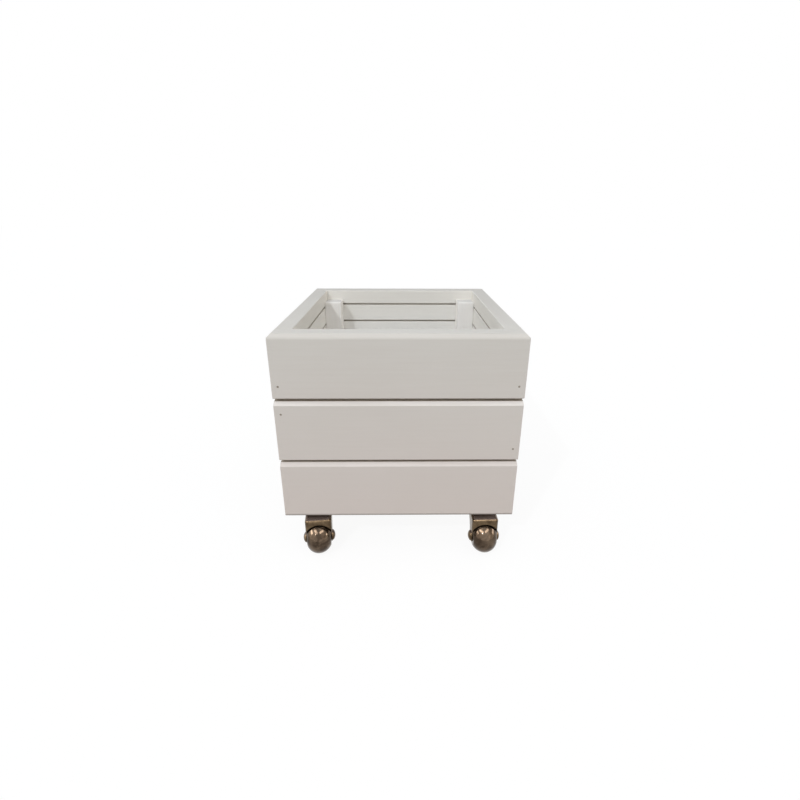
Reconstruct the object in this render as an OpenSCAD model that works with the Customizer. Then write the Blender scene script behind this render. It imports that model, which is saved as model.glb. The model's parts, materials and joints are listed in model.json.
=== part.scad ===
// Rolling planter: a square box of painted tongue-and-groove boards on four swivel casters.
// It stands on the floor at z = 0, centred on the z axis, with its front towards -Y.
// All sizes are in millimetres and all angles in degrees.

/* [Box] */
// Width of the box, outside to outside
box_w = 340; // [300:1:400]
// Depth of the box from front to back, outside to outside
box_d = 340; // [300:1:400]
// Face height of one wall board
board_h = 90.5; // [84:0.5:100]
// Thickness of the wall boards
board_t = 28; // [25:0.5:32]
// Open joint between two courses, which the tongue spans
board_gap = 5; // [3:0.5:7]

/* [Board profile] */
// Chamfer along the top outer edge of a board
face_chamfer = 5; // [3:0.5:7]
// Chamfer along the bottom outer edge of a board
lower_arris = 1.5; // [0.5:0.5:3]
// Chamfer along both inner edges of a board
inner_arris = 1; // [0.5:0.5:2]
// Thickness of the tongue
tongue_t = 8; // [6:0.5:10]
// Height of the tongue above the board's top edge
tongue_h = 11; // [9:0.5:13]
// Lead-in chamfer at the tip of the tongue
tongue_lead = 1; // [0.5:0.5:2]
// Play on each side of the tongue in its groove
groove_play = 0.3; // [0.1:0.1:0.6]
// Free depth left above the tongue in its groove
groove_relief = 1; // [0.5:0.5:2]
// Width of the relief kerfs in a board's inner face
kerf_w = 3; // [2:0.5:4]
// Depth of the relief kerfs
kerf_depth = 5; // [3:0.5:7]
// Distance from a board's top edge to its upper kerf
kerf_drop = 26.5; // [22:0.5:30]
// Distance between a board's two kerfs
kerf_pitch = 33.5; // [28:0.5:38]

/* [Corner posts] */
// Width of the square corner posts
post_w = 31; // [28:0.5:36]
// Distance from the rim down to the top of a post
post_drop = 17; // [10:1:26]
// Chamfer on the edges of a post
post_arris = 2; // [0.5:0.5:4]

/* [Floor] */
// Width of the two bearers under the floor slats
bearer_w = 45; // [40:1:55]
// Height of the bearers
bearer_h = 22; // [20:1:28]
// Thickness of the floor slats
slat_t = 18; // [15:1:22]
// Width of the narrow slats that lie between two posts
end_slat_w = 28; // [24:1:30]
// Drainage gap between two slats
slat_gap = 6; // [4:0.5:8]
// Play around the floor inside the walls and posts
slat_play = 0.5; // [0.3:0.1:1]

/* [Caster position] */
// Height from the floor to the underside of the box
caster_h = 72; // [70:1:80]
// Distance from the side of the box to a caster's pivot
inset_x = 41; // [41:1:50]
// Distance from the front or back of the box to a caster's pivot
inset_y = 36; // [34:1:50]
// Distance by which the casters are set off to the right of the box's middle
caster_shift = 2; // [0:0.5:3]
// Swivel angle at which the front left caster stands
front_left_turn = 7; // [-20:1:20]
// Swivel angle at which the front right caster stands
front_right_turn = 1; // [-20:1:20]

/* [Caster plate] */
// Width of the square top plate
plate_w = 60; // [56:1:66]
// Thickness of the top plate
plate_t = 2.5; // [2:0.1:3]
// Corner radius of the top plate
plate_r = 6; // [3:0.5:8]
// Distance between two screws of a plate
screw_pitch = 46; // [42:0.5:48]
// Diameter of a screw's hole in the plate
screw_hole_d = 5; // [4.8:0.1:5.5]

/* [Swivel bearing] */
// Height from the plate down to the crown of the fork
swivel_h = 9; // [8:0.1:10]
// Height of the raised race on the plate and on the fork
race_h = 3.5; // [3:0.1:3.8]
// Radius of the circle on which the balls run
race_r = 13; // [12:0.1:13.4]
// Diameter of the balls
ball_d = 4; // [3.6:0.1:4.2]
// Number of balls
ball_count = 14; // [10:1:16]
// Radius of the two races at their inner edge
race_inner_r = 9; // [8:0.1:9.6]
// Radius of the plate's race at its outer edge
race_outer_r = 16.5; // [16:0.1:16.8]
// Inner radius of the dust skirt around the races
skirt_r = 17.2; // [17.1:0.1:17.5]
// Thickness of the dust skirt
skirt_t = 1.6; // [1.2:0.1:1.8]
// Gap between the dust skirt and the plate
skirt_gap = 0.8; // [0.5:0.1:1.5]
// Diameter of the kingpin
kingpin_d = 8; // [6:0.5:10]
// Radius of the kingpin's lower head
kingpin_head_r = 6.5; // [6:0.1:8]
// Height of the kingpin's lower head
kingpin_head_h = 2.4; // [1.5:0.1:3]
// Radius of the kingpin's countersunk upper end
kingpin_top_r = 6; // [5.5:0.1:7]
// Depth of that countersink
kingpin_top_h = 1.5; // [1:0.1:1.8]

/* [Fork] */
// Thickness of the pressed sheet
sheet_t = 1.5; // [1.2:0.1:2]
// Outer radius of the bend around the top of the hood
bend_r = 4; // [3:0.1:6]
// Outer radius of the hood's two upright front corners
corner_r = 5; // [3:0.1:6]
// Gap between the wheel's crown and the arched edge of the hood
arch_gap = 1; // [0.8:0.1:2]
// Gap between the wheel and each leg
side_gap = 0.5; // [0.4:0.1:1.2]
// Radius of the crown's round rear edge about the pivot
crown_r = 22; // [21.5:0.5:24]
// Depth of the crown's side edges behind the legs
leg_rear_h = 8; // [6:0.5:12]
// Radius of the leg's rounded end around the axle
leg_end_r = 9; // [8.2:0.1:11]
// Radius of the pressed boss around the axle
boss_r = 8; // [7.6:0.1:9]
// Height of that boss
boss_h = 0.6; // [0.3:0.1:1]

/* [Axle] */
// Diameter of the axle
axle_d = 8; // [6:0.5:9]
// Radius of the axle's domed head and of its cap
cap_r = 7.5; // [6.5:0.1:7.5]
// Height of the head and of the cap
cap_h = 3.7; // [3:0.1:5]
// Straight rim below the dome
cap_rim = 1; // [0.5:0.1:1.5]
// Length of the axle's end inside the cap
axle_stub = 2; // [1:0.1:2.4]

/* [Wheel] */
// Diameter of the wheel
wheel_d = 51; // [48:1:54]
// Width of the wheel
wheel_w = 36; // [32:0.5:39]
// Radius of the round crown across the tread
tread_r = 20; // [19.5:0.5:30]
// Distance from the pivot back to the axle
trail = 25; // [22:0.5:28]
// Radius of the hub's barrel
hub_r = 9; // [8.5:0.1:10]
// Length by which the hub stands out of each side of the tread
hub_proud = 0.2; // [0:0.1:0.3]
// Radius of the ribs that key the tread to the hub
rib_r = 12.5; // [11:0.1:14]
// Width of those ribs
rib_w = 3.5; // [2:0.1:5]
// Distance between two ribs
rib_pitch = 9; // [6:0.1:11]

/* [Nails and screws] */
// Diameter of a nail's shank
nail_d = 1.8; // [1.4:0.1:2.2]
// Diameter of a nail's head
nail_head_d = 3; // [2.6:0.1:4]
// Thickness of a nail's head
nail_head_t = 0.6; // [0.4:0.1:1]
// Depth of a nail's head below the painted face
nail_set = 0.5; // [0.2:0.1:1]
// Length of the nails in the walls
wall_nail_l = 50; // [45:1:55]
// Length of the nails in the floor
floor_nail_l = 35; // [30:1:38]
// Height of the front and back walls' nails above and below the edges of a board
front_nail_edge = 18; // [17:0.5:23]
// Distance of the outer nails from the ends of those boards
nail_inset = 9; // [8:0.5:14]
// The same height on the side walls
side_nail_edge = 30; // [26:0.5:34]
// Diameter of a plate screw's shank
screw_d = 4; // [3.5:0.1:4.4]
// Length of a plate screw below its head
screw_l = 16; // [12:0.5:17]
// Diameter of a plate screw's head
screw_head_d = 8; // [7:0.1:9]
// Height of a plate screw's head
screw_head_h = 2.4; // [1.8:0.1:3]

/* [Fits] */
// Radial play where a pin turns in its hole
running_play = 0.05; // [0.02:0.01:0.1]
// Play around a piece that is seated in another
seat_play = 0.05; // [0.02:0.01:0.1]
// Gap between a moving piece and its neighbour
moving_gap = 0.3; // [0.2:0.05:0.5]

/* [Hidden] */
$fn = 96;
// Overshoot of a cut past the face that it opens
cut = 1;
// Distance by which edges that would only just touch run past one another
overrun = 0.1;

COURSES = ["bottom", "middle", "top"];
WALLS = ["front", "right", "back", "left"];
CORNERS = ["front_left", "front_right", "rear_left", "rear_right"];
CASTER_PARTS = ["plate", "kingpin", "balls", "fork", "axle", "axle_cap", "hub", "tread"];
SLATS = ["front", "1", "2", "3", "rear"];
BEARERS = ["left", "right"];

// Colours of the finishes
paint = "#dedbd4";
deal = "#e2cfa8";
bronze = "#5b4a38";
steel = "#b4b4b0";
core = "#8a7a66";
urethane = "#6d5c4a";

// Heights from the floor
course_step = board_h + board_gap;
rim_z = caster_h + len(COURSES) * board_h + (len(COURSES) - 1) * board_gap;
post_top_z = rim_z - post_drop;
slat_z = caster_h + bearer_h;
// Inside of the box, and how far a side board reaches between the front and back walls
inner_w = box_w - 2 * board_t;
inner_d = box_d - 2 * board_t;
// Free span between two posts along the front and along a side
span_w = inner_w - 2 * post_w;
span_d = inner_d - 2 * post_w;
bearer_x = span_w / 2 - bearer_w / 2;

// Tongue and groove, measured from the outer face of a board
tongue_u = (board_t - tongue_t) / 2;
groove_depth = tongue_h - board_gap + groove_relief;

// Caster levels, measured down from the top of its plate
swivel_z = -plate_t - swivel_h;
crown_under_z = swivel_z - sheet_t;
ball_z = -plate_t - swivel_h / 2;
ball_r = ball_d / 2;
axle_z = wheel_d / 2 - caster_h;
axle_r = axle_d / 2;
kingpin_r = kingpin_d / 2;
fork_inner_w = wheel_w + 2 * side_gap;
fork_w = fork_inner_w + 2 * sheet_t;
// Distance from the pivot to the front face of the hood, level with the legs' rounded ends
front_d = trail + leg_end_r - overrun;
// Face of the boss on which the axle's head and cap sit
boss_x = fork_w / 2 + boss_h;
// Radius of the dome that rises from the rim of the axle's head to its top
dome_h = cap_h - cap_rim;
dome_r = (cap_r * cap_r + dome_h * dome_h) / (2 * dome_h);
tread_centre_r = wheel_d / 2 - tread_r;
hub_l = wheel_w + 2 * hub_proud;

// Which way a corner lies from the middle of the box
function side_x(k) = k == "front_left" || k == "rear_left" ? -1 : 1;
function side_y(k) = k == "front_left" || k == "front_right" ? -1 : 1;
// The casters stand turned as if the planter had just been rolled; the rear pair is the
// front pair turned half way round
function turn(k) =
    k == "front_left" ? front_left_turn
    : k == "front_right" ? front_right_turn
    : k == "rear_left" ? front_right_turn + 180
    : front_left_turn + 180;
function pivot(k) = [
    side_x(k) * (box_w / 2 - inset_x) + caster_shift,
    side_y(k) * (box_d / 2 - inset_y)
];

// Angle of a wall around the box, its board length and its distance from the middle
function wall_angle(w) = w == "front" ? 0 : w == "right" ? 90 : w == "back" ? 180 : 270;
function is_long(w) = w == "front" || w == "back";
function wall_run(w) = is_long(w) ? box_w : inner_d;
function wall_out(w) = is_long(w) ? box_d / 2 : box_w / 2;
function course_z(c) = caster_h + search([c], COURSES)[0] * course_step;

// ---------------------------------------------------------------- wall boards

function kerf_points(v) = [
    [board_t, v - kerf_w / 2],
    [board_t - kerf_depth, v - kerf_w / 2],
    [board_t - kerf_depth, v + kerf_w / 2],
    [board_t, v + kerf_w / 2]
];
function groove_points() = [
    [tongue_u - groove_play, 0],
    [tongue_u - groove_play, groove_depth],
    [tongue_u + tongue_t + groove_play, groove_depth],
    [tongue_u + tongue_t + groove_play, 0]
];
function tongue_points() = [
    [tongue_u + tongue_t, board_h],
    [tongue_u + tongue_t, board_h + tongue_h - tongue_lead],
    [tongue_u + tongue_t - tongue_lead, board_h + tongue_h],
    [tongue_u + tongue_lead, board_h + tongue_h],
    [tongue_u, board_h + tongue_h - tongue_lead],
    [tongue_u, board_h]
];
// Section of a board: outer face at u = 0, inner face at u = board_t
function board_section(c) = concat(
    [[lower_arris, 0]],
    c == "bottom" ? [] : groove_points(),
    [[board_t - inner_arris, 0], [board_t, inner_arris]],
    kerf_points(board_h - kerf_drop - kerf_pitch),
    kerf_points(board_h - kerf_drop),
    [[board_t, board_h - inner_arris], [board_t - inner_arris, board_h]],
    c == "top" ? [] : tongue_points(),
    [[face_chamfer, board_h], [0, board_h - face_chamfer], [0, lower_arris]]
);

// Chamfer across both ends of a top board, which carries the side walls' chamfer round the corner
module end_chamfers(w) {
    side = (face_chamfer + overrun) * sqrt(2);
    for (s = [-1, 1])
        rotate([0, 0, wall_angle(w)])
            translate([s * wall_run(w) / 2, -wall_out(w), rim_z])
                rotate([0, 45, 0])
                    cube([side, 2 * (board_t + cut), side], center = true);
}

module board(w, c) {
    color(paint)
        difference() {
            rotate([0, 0, wall_angle(w)])
                translate([0, -wall_out(w), course_z(c)])
                    rotate([90, 0, 90])
                        linear_extrude(wall_run(w), center = true)
                            polygon(board_section(c));
            course_nail_holes(c);
            if (c == "bottom") plate_screw_holes();
            if (c == "top" && is_long(w)) end_chamfers(w);
        }
}

// ---------------------------------------------------------------- posts and floor

module post(k) {
    s = post_w - 2 * post_arris;
    color(paint)
        difference() {
            translate([
                side_x(k) * (inner_w / 2 - post_w / 2),
                side_y(k) * (inner_d / 2 - post_w / 2),
                caster_h
            ])
                linear_extrude(post_top_z - caster_h)
                    polygon([
                        for (q = [0:3], e = [[1, -1], [1, 1]])
                            let (
                                x = e.y < 0 ? post_w / 2 : s / 2,
                                y = e.y < 0 ? s / 2 : post_w / 2,
                                a = 90 * q
                            )
                            [x * cos(a) - y * sin(a), x * sin(a) + y * cos(a)]
                    ]);
            for (c = COURSES) course_nail_holes(c);
        }
}

module bearer(s) {
    x = s == "left" ? -bearer_x : bearer_x;
    color(deal)
        difference() {
            translate([x - bearer_w / 2, -inner_d / 2, caster_h])
                cube([bearer_w, inner_d, bearer_h]);
            plate_screw_holes();
            floor_nail_holes();
        }
}

// Front edge, width and length of each floor slat
mid_slat_w = (inner_d - 2 * (slat_play + end_slat_w) - 4 * slat_gap) / 3;
function slat_w(s) = s == "front" || s == "rear" ? end_slat_w : mid_slat_w;
function slat_l(s) = (s == "front" || s == "rear" ? span_w : inner_w) - 2 * slat_play;
function slat_y(s) =
    s == "front" ? -inner_d / 2 + slat_play + end_slat_w / 2
    : s == "rear" ? inner_d / 2 - slat_play - end_slat_w / 2
    : (search([s], SLATS)[0] - 2) * (mid_slat_w + slat_gap);

module floor_slat(s) {
    color(deal)
        difference() {
            translate([-slat_l(s) / 2, slat_y(s) - slat_w(s) / 2, slat_z])
                cube([slat_l(s), slat_w(s), slat_t]);
            floor_nail_holes();
        }
}

// ---------------------------------------------------------------- nails and screws

// A nail driven along +Z with its head set below z = 0
module nail(l) {
    translate([0, 0, nail_set]) {
        cylinder(d = nail_head_d, h = nail_head_t);
        cylinder(d = nail_d, h = l - nail_set);
    }
}

module nail_hole(l) {
    translate([0, 0, -cut])
        cylinder(r = nail_head_d / 2 + seat_play, h = cut + nail_set + nail_head_t);
    cylinder(r = nail_d / 2 + seat_play, h = l + seat_play);
}

// Places of a wall's nails in one course: along the wall, and up the board
function wall_nail_points(w) = is_long(w)
    ? [
        for (s = [-1, 1]) each [
            [s * (box_w / 2 - nail_inset), front_nail_edge],
            [s * (box_w / 2 - nail_inset), board_h - front_nail_edge],
            [s * (inner_w / 2 - post_w / 2), board_h / 2]
        ]
    ]
    : [
        for (s = [-1, 1], v = [side_nail_edge, board_h - side_nail_edge])
            [s * (inner_d / 2 - post_w / 2), v]
    ];

module at_course_nails(c) {
    for (w = WALLS, p = wall_nail_points(w))
        rotate([0, 0, wall_angle(w)])
            translate([p.x, -wall_out(w), course_z(c) + p.y])
                rotate([-90, 0, 0])
                    children();
}

module course_nail_holes(c) {
    at_course_nails(c) nail_hole(wall_nail_l);
}

module wall_nails() {
    color(steel)
        for (c = COURSES)
            at_course_nails(c) nail(wall_nail_l);
}

module at_floor_nails() {
    for (x = [-bearer_x, bearer_x], s = SLATS)
        for (y = s == "front" || s == "rear" ? [0] : [-mid_slat_w / 4, mid_slat_w / 4])
            translate([x, slat_y(s) + y, slat_z + slat_t])
                rotate([180, 0, 0])
                    children();
}

module floor_nail_holes() {
    at_floor_nails() nail_hole(floor_nail_l);
}

module floor_nails() {
    color(steel) at_floor_nails() nail(floor_nail_l);
}

module at_plate_screws() {
    for (k = CORNERS, x = [-1, 1], y = [-1, 1])
        translate(concat(pivot(k) + [x, y] * screw_pitch / 2, [caster_h - plate_t]))
            children();
}

module plate_screw_holes() {
    at_plate_screws() cylinder(r = screw_d / 2 + seat_play, h = screw_l + seat_play);
}

module caster_screws() {
    r = screw_head_d / 2;
    ball = (r * r + screw_head_h * screw_head_h) / (2 * screw_head_h);
    color(steel)
        at_plate_screws() {
            cylinder(d = screw_d, h = screw_l);
            rotate([180, 0, 0])
                rotate_extrude()
                    intersection() {
                        translate([0, screw_head_h - ball]) circle(ball);
                        square([r, screw_head_h]);
                    }
        }
}

// ---------------------------------------------------------------- casters
// Each piece is drawn with the pivot on the z axis, the plate's top at z = 0
// and the wheel trailing towards -Y.

module rounded_square(w, r) {
    square([w, w - 2 * r], center = true);
    square([w - 2 * r, w], center = true);
    for (x = [-1, 1], y = [-1, 1])
        translate([x, y] * (w / 2 - r)) circle(r);
}

module race_groove(r) {
    translate([0, 0, ball_z])
        rotate_extrude()
            translate([race_r, 0]) circle(r);
}

module caster_plate() {
    color(bronze)
        difference() {
            union() {
                translate([0, 0, -plate_t])
                    linear_extrude(plate_t) rounded_square(plate_w, plate_r);
                translate([0, 0, -plate_t - race_h])
                    cylinder(r = race_outer_r, h = race_h + plate_t / 2);
            }
            translate([0, 0, -plate_t - race_h - cut])
                cylinder(r = kingpin_r + seat_play, h = plate_t + race_h + 2 * cut);
            translate([0, 0, -kingpin_top_h])
                cylinder(
                    r1 = kingpin_r + seat_play,
                    r2 = kingpin_top_r + seat_play,
                    h = kingpin_top_h
                );
            translate([0, 0, -plate_t - race_h - cut])
                cylinder(r = race_inner_r, h = race_h + cut);
            race_groove(ball_r + moving_gap);
            for (x = [-1, 1], y = [-1, 1])
                translate([x * screw_pitch / 2, y * screw_pitch / 2, -plate_t - cut])
                    cylinder(d = screw_hole_d, h = plate_t + 2 * cut);
        }
}

module caster_kingpin() {
    head_z = crown_under_z - moving_gap;
    color(steel)
        rotate_extrude()
            polygon([
                [0, 0],
                [kingpin_top_r, 0],
                [kingpin_r, -kingpin_top_h],
                [kingpin_r, head_z],
                [kingpin_head_r, head_z],
                [kingpin_head_r, head_z - kingpin_head_h / 2],
                [kingpin_r, head_z - kingpin_head_h],
                [0, head_z - kingpin_head_h]
            ]);
}

module caster_balls() {
    color(steel)
        for (i = [0:ball_count - 1])
            rotate([0, 0, 360 * i / ball_count])
                translate([race_r, 0, ball_z]) sphere(ball_r);
}

// Doorway of width w that reaches up to top, with rounded shoulders
module doorway(w, top, r) {
    low = axle_z - leg_end_r - cut;
    translate([-w / 2, low]) square([w, top - r - low]);
    translate([-w / 2 + r, low]) square([w - 2 * r, top - low]);
    for (x = [-1, 1])
        translate([x * (w / 2 - r), top - r]) circle(r);
}

// The hood as a block of width w: top at height z, front face at distance d from the pivot,
// bends of radius r around the top and of radius c at the upright corners
module hood_block(w, z, d, r, c) {
    behind = 2 * crown_r;
    intersection() {
        rotate([90, 0, 0])
            linear_extrude(2 * (d + behind), center = true) doorway(w, z, r);
        rotate([90, 0, 90])
            linear_extrude(w + 2 * cut, center = true)
                translate([behind - d, 0]) doorway(2 * behind, z, r);
        translate([0, 0, axle_z - leg_end_r - cut])
            linear_extrude(z - axle_z + leg_end_r + 2 * cut)
                rotate(180) doorway(w, d, c);
    }
}

// Outline of the fork seen from its side, in y and z: upright front edge, rounded end
// around the axle and a rear edge that sweeps up to the crown
module fork_side() {
    hub_c = [-trail, axle_z];
    rear_z = swivel_z - leg_rear_h;
    sweep_r = rear_z - axle_z;
    sweep_c = hub_c + [leg_end_r + sweep_r, 0];
    difference() {
        polygon([
            [-front_d - cut, swivel_z + cut],
            [-front_d - cut, axle_z],
            sweep_c,
            [sweep_c.x, rear_z],
            [crown_r + cut, rear_z],
            [crown_r + cut, swivel_z + cut]
        ]);
        translate(sweep_c) circle(sweep_r + overrun);
    }
    translate(hub_c) circle(leg_end_r);
}

// Arched opening of the hood, as wide as the space between the legs
module hood_opening() {
    intersection() {
        translate([0, axle_z + tread_centre_r]) circle(tread_r + arch_gap);
        translate([-fork_inner_w / 2, axle_z]) square([fork_inner_w, wheel_d]);
    }
    translate([-fork_inner_w / 2, axle_z - leg_end_r - cut])
        square([fork_inner_w, leg_end_r + cut + tread_centre_r]);
}

module fork_sheet() {
    difference() {
        intersection() {
            hood_block(fork_w, swivel_z, front_d, bend_r, corner_r);
            rotate([90, 0, 90])
                linear_extrude(fork_w + 2 * cut, center = true) fork_side();
            translate([0, 0, axle_z - leg_end_r - cut])
                linear_extrude(-axle_z + leg_end_r + cut) {
                    circle(crown_r);
                    translate([-crown_r - cut, -front_d - cut])
                        square([2 * (crown_r + cut), front_d + cut]);
                }
        }
        hood_block(
            fork_inner_w,
            crown_under_z,
            front_d - sheet_t,
            bend_r - sheet_t,
            corner_r - sheet_t
        );
        translate([0, -front_d + corner_r, 0])
            rotate([90, 0, 0])
                linear_extrude(corner_r + cut) hood_opening();
    }
}

module caster_fork() {
    cup_r = skirt_r + skirt_t;
    color(bronze)
        difference() {
            union() {
                fork_sheet();
                // Dished race with its dust skirt
                difference() {
                    translate([0, 0, crown_under_z + sheet_t / 2])
                        cylinder(r = cup_r, h = sheet_t / 2 + swivel_h - skirt_gap);
                    translate([0, 0, swivel_z + race_h])
                        cylinder(r = skirt_r, h = swivel_h);
                }
                for (x = [-1, 1])
                    translate([x * (boss_x - boss_h / 2 - sheet_t / 4), -trail, axle_z])
                        rotate([0, 90, 0])
                            cylinder(r = boss_r, h = boss_h + sheet_t / 2, center = true);
            }
            race_groove(ball_r + seat_play);
            translate([0, 0, swivel_z])
                cylinder(r = race_inner_r, h = race_h + cut);
            translate([0, 0, crown_under_z - cut])
                cylinder(r = kingpin_r + running_play, h = swivel_h + sheet_t);
            translate([0, -trail, axle_z])
                rotate([0, 90, 0])
                    cylinder(r = axle_r + seat_play, h = 2 * boss_x + cut, center = true);
        }
}

// Domed head, sitting on z = 0
module dome() {
    rotate_extrude()
        intersection() {
            translate([0, cap_h - dome_r]) circle(dome_r);
            square([cap_r, cap_h]);
        }
}

module at_axle() {
    translate([0, -trail, axle_z])
        rotate([0, 90, 0]) children();
}

module caster_axle() {
    color(steel)
        at_axle() {
            translate([0, 0, -boss_x]) {
                cylinder(r = axle_r, h = 2 * boss_x + axle_stub);
                rotate([180, 0, 0]) dome();
            }
        }
}

module caster_axle_cap() {
    color(bronze)
        at_axle()
            translate([0, 0, boss_x])
                difference() {
                    dome();
                    translate([0, 0, -cut])
                        cylinder(r = axle_r + seat_play, h = cut + axle_stub + seat_play);
                }
}

// Profile of the hub with its ribs, grown by g where the tread fits over it
module hub_profile(g) {
    translate([0, -hub_l / 2]) square([hub_r + g, hub_l]);
    for (i = [-1, 0, 1])
        translate([0, i * rib_pitch - rib_w / 2 - g]) square([rib_r + g, rib_w + 2 * g]);
}

module caster_hub() {
    color(core)
        at_axle()
            rotate_extrude()
                difference() {
                    hub_profile(0);
                    translate([0, -hub_l]) square([axle_r + running_play, 2 * hub_l]);
                }
}

module caster_tread() {
    color(urethane)
        at_axle()
            rotate_extrude()
                difference() {
                    intersection() {
                        translate([tread_centre_r, 0]) circle(tread_r);
                        translate([0, -wheel_w / 2]) square([wheel_d, wheel_w]);
                    }
                    hub_profile(seat_play);
                }
}

module caster_piece(p) {
    if (p == "plate") caster_plate();
    if (p == "kingpin") caster_kingpin();
    if (p == "balls") caster_balls();
    if (p == "fork") caster_fork();
    if (p == "axle") caster_axle();
    if (p == "axle_cap") caster_axle_cap();
    if (p == "hub") caster_hub();
    if (p == "tread") caster_tread();
}

// The plate is square to the box; everything below it stands turned on the kingpin
module caster(k, p) {
    translate(concat(pivot(k), [caster_h]))
        rotate([0, 0, p == "plate" ? 0 : turn(k)])
            caster_piece(p);
}

for (w = WALLS, c = COURSES) {
    board(w, c);
}
for (k = CORNERS) {
    post(k);
}
for (s = BEARERS) {
    bearer(s);
}
for (s = SLATS) {
    floor_slat(s);
}
wall_nails();
floor_nails();
caster_screws();
for (k = CORNERS, p = CASTER_PARTS) {
    caster(k, p);
}
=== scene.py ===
"""Looks of the rolling planter.

A square box of painted tongue-and-groove boards stands on four swivel casters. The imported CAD
model is the fixed frame. Lengths are in metres, z is up and the front faces -Y.
"""

import json
import math

import bmesh
import bpy
from mathutils import Matrix, Vector


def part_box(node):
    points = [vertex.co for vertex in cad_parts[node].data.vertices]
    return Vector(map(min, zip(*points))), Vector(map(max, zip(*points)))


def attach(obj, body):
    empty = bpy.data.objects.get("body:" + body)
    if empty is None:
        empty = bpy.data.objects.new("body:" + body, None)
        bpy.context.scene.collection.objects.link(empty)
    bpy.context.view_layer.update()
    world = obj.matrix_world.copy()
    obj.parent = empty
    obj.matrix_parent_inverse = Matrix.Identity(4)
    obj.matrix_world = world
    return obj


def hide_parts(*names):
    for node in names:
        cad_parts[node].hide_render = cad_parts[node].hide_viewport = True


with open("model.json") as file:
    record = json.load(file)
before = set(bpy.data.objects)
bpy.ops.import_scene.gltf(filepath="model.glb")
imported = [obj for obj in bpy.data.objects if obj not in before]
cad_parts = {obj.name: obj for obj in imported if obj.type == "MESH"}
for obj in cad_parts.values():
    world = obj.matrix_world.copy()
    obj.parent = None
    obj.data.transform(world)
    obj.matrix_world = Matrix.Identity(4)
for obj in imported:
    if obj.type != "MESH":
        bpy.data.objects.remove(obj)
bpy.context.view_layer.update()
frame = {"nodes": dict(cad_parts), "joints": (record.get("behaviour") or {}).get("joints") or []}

MM = 0.001
# How far from a plane a face may lie and still count as in it, and a point from its place
SLACK = MM / 10
SAME_PLACE = MM / 1000

# ------------------------------------------------------------------ sizes and places

COURSES = ("bottom", "middle", "top")
# Each wall's turn from the front, in degrees
WALLS = {"front": 0, "right": 90, "back": 180, "left": 270}
CORNERS = ("front_left", "front_right", "rear_left", "rear_right")
SLATS = ("front", "1", "2", "3", "rear")
BEARERS = ("left", "right")

# Board section, as in the CAD model
FACE_CHAMFER = 5 * MM
LOWER_ARRIS = 1.5 * MM
INNER_ARRIS = 1 * MM
TONGUE_T = 8 * MM
TONGUE_H = 11 * MM
TONGUE_LEAD = 1 * MM
GROOVE_PLAY = 0.3 * MM
GROOVE_RELIEF = 1 * MM
KERF_W = 3 * MM
KERF_DEPTH = 5 * MM
KERF_DROP = 26.5 * MM
KERF_PITCH = 33.5 * MM

# Nails in the boards
NAIL_HOLE_R = 1.55 * MM
NAIL_HOLE_DEPTH = 0.8 * MM
FILLED_DEPTH = 0.15 * MM
FRONT_NAIL_EDGE = 18 * MM
SIDE_NAIL_EDGE = 30 * MM
NAIL_INSET = 9 * MM

# Softened edges
BOARD_EASE = 0.7 * MM
RIM_EASE = 2.2 * MM
POST_EASE = 2 * MM
TIMBER_EASE = 1 * MM
PRESSED_EASE = 0.3 * MM
TURNED_EASE = 0.4 * MM
TREAD_EASE = 0.5 * MM
CREASE = math.radians(40)

# Caster, as in the CAD model
PLATE_T = 2.5 * MM
SWIVEL_H = 9 * MM
RACE_H = 3.5 * MM
RACE_R = 13 * MM
RACE_INNER_R = 9 * MM
BALL_SEAT_R = 2.05 * MM
SKIRT_R = 17.2 * MM
SKIRT_T = 1.6 * MM
SKIRT_GAP = 0.8 * MM
SHEET_T = 1.5 * MM
BEND_R = 4 * MM
CORNER_R = 5 * MM
ARCH_GAP = 1 * MM
OVERRUN = 0.1 * MM
FORK_W = 40 * MM
CROWN_R = 22 * MM
LEG_REAR_H = 8 * MM
LEG_END_R = 9 * MM
BOSS_R = 8 * MM
BOSS_H = 0.6 * MM
AXLE_R = 4 * MM
CAP_R = 7.5 * MM
CAP_H = 3.7 * MM
CAP_RIM = 1 * MM
WHEEL_R = 25.5 * MM
WHEEL_W = 36 * MM
TREAD_R = 20 * MM
HUB_R = 9 * MM
HUB_L = 36.4 * MM
RIB_R = 12.5 * MM
RIB_W = 3.5 * MM
RIB_PITCH = 9 * MM
BORE_PLAY = 0.05 * MM
KINGPIN_R = 4 * MM
PIVOT_BORE_L = 8 * MM

# Places that the frame gives
BOX_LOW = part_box("board_front_bottom")[0]
BOX_FLOOR_Z = BOX_LOW.z
BOARD_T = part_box("board_front_top")[1].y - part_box("board_front_top")[0].y
BOARD_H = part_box("board_front_top")[1].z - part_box("board_front_top")[0].z
INNER_W = -2 * BOX_LOW.x - 2 * BOARD_T
POST_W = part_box("post_front_left")[1].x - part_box("post_front_left")[0].x
COURSE_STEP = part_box("board_front_middle")[0].z - BOX_FLOOR_Z
JOINTS = {joint["name"]: joint for joint in frame["joints"]}

# Places in a board's section, by depth behind its face and height up the board
GROOVE_FRONT = (BOARD_T - TONGUE_T) / 2 - GROOVE_PLAY
GROOVE_BACK = BOARD_T - GROOVE_FRONT
GROOVE_TOP = TONGUE_H - (COURSE_STEP - BOARD_H) + GROOVE_RELIEF
KERF_HEIGHTS = (BOARD_H - KERF_DROP - KERF_PITCH, BOARD_H - KERF_DROP)

# Material slots of a board: paint, paint made lighter on the joint chamfers as a painted highlight,
# and sawn wood
PAINTED, CHAMFER_HIGHLIGHT, SAWN = 0, 1, 2


# ------------------------------------------------------------------ shader maths


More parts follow.
